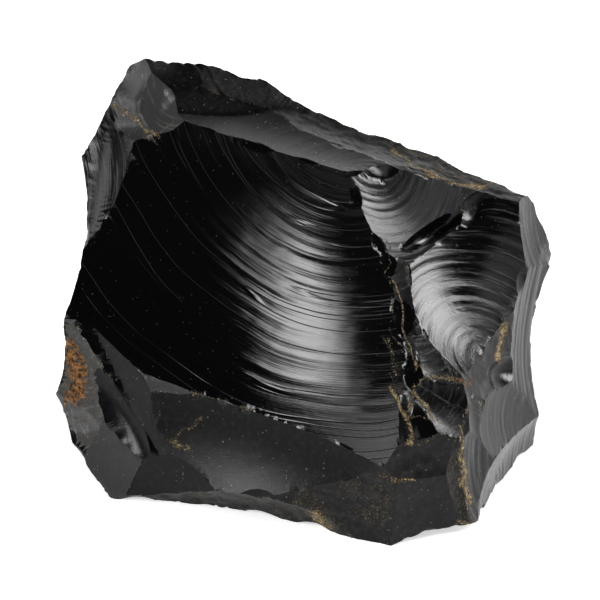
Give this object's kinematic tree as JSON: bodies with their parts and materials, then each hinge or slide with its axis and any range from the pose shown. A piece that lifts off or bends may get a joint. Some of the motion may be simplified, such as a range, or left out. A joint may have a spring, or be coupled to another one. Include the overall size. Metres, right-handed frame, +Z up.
{
  "type": "obsidian chunk",
  "caption": "Fist-sized chunk of black obsidian with a broad hollow fracture face, sharp ridges and chipped edges, resting on its flat underside.",
  "frame": {"origin": "centre of the bounding box's bottom face, on the surface that the stone rests on", "axes": "+Z up; the broad hollow fracture face looks toward -Y and up; +X to the right as seen from -Y"},
  "size_m": [0.0997, 0.0827, 0.0722],
  "materials": {
    "black_glass": "gloss"
  },
  "bodies": {
    "root": {"obsidian_chunk": "black_glass"}
  },
  "joints": []
}
